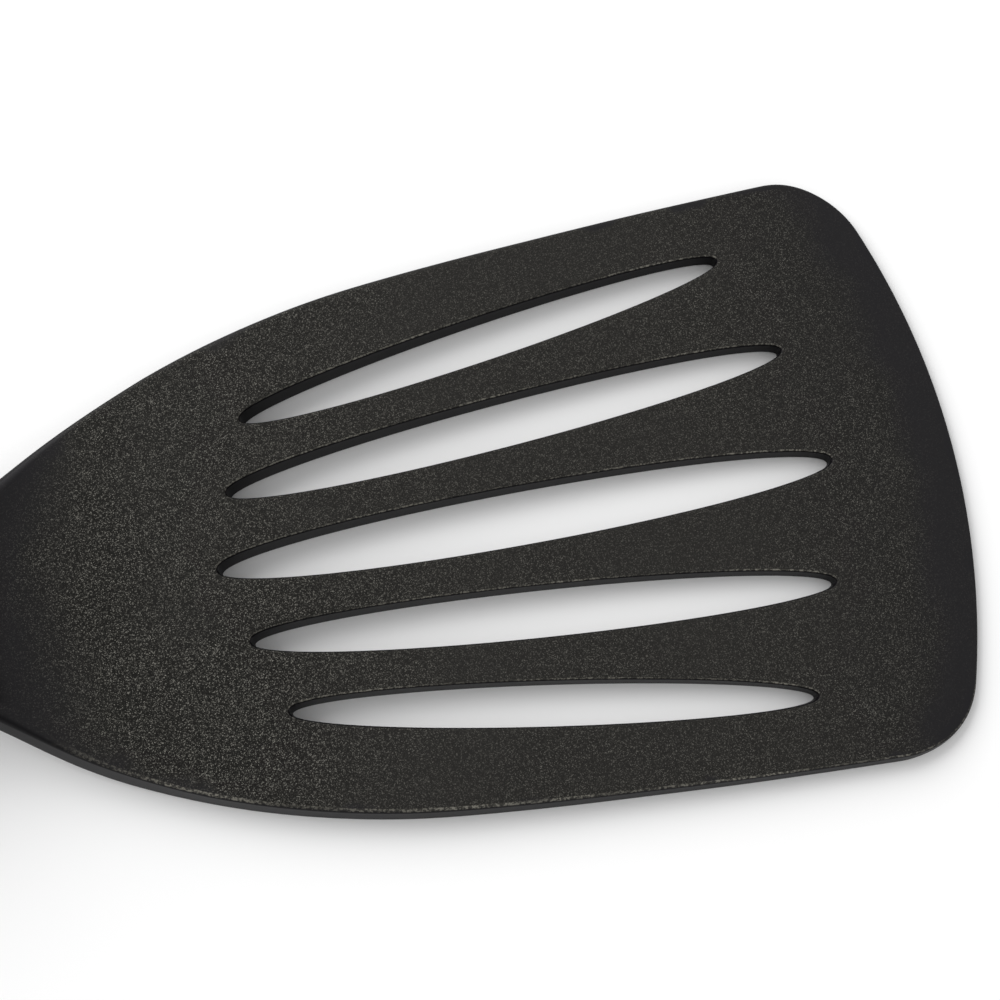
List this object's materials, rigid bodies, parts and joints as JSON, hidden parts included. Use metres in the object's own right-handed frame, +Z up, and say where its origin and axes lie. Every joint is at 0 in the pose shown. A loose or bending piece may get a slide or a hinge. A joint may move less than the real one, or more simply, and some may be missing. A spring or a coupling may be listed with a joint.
{
  "type": "grill spatula",
  "caption": "Slotted nylon turner head on a bent steel shaft, with a two-shell soft-grip handle and a swinging hanging ring.",
  "frame": {"origin": "middle of the footprint, on the plane that the tool lies on", "axes": "+X along the tool towards the blade's leading edge, +Z up with the blade's flat underside down, +Y across"},
  "size_m": [0.37, 0.0868, 0.0392],
  "materials": {
    "nylon": "fine spark-eroded grain",
    "steel": "brushed along its length",
    "shell_plastic": "satin moulded",
    "soft_grip": "matt soft-touch",
    "screw_steel": "plated",
    "cast_metal": "tumbled satin",
    "wire_steel": "bright drawn wire"
  },
  "bodies": {
    "tool": {"blade_head": "nylon", "head_rivets": "steel", "shaft": "steel", "bolster": "steel", "handle_upper_shell": "shell_plastic", "handle_lower_shell": "shell_plastic", "grip_pad_upper": "soft_grip", "grip_pad_lower": "soft_grip", "handle_screws": "screw_steel", "end_cap": "cast_metal"},
    "ring": {"hanging_ring": "wire_steel"}
  },
  "joints": [
    {"name": "ring_swing", "type": "hinge", "parent": "tool", "child": "ring", "pos_m": [-0.15994, 0, 0.00891], "axis": [0, 1, 0], "range_deg": [-110, 125]}
  ]
}
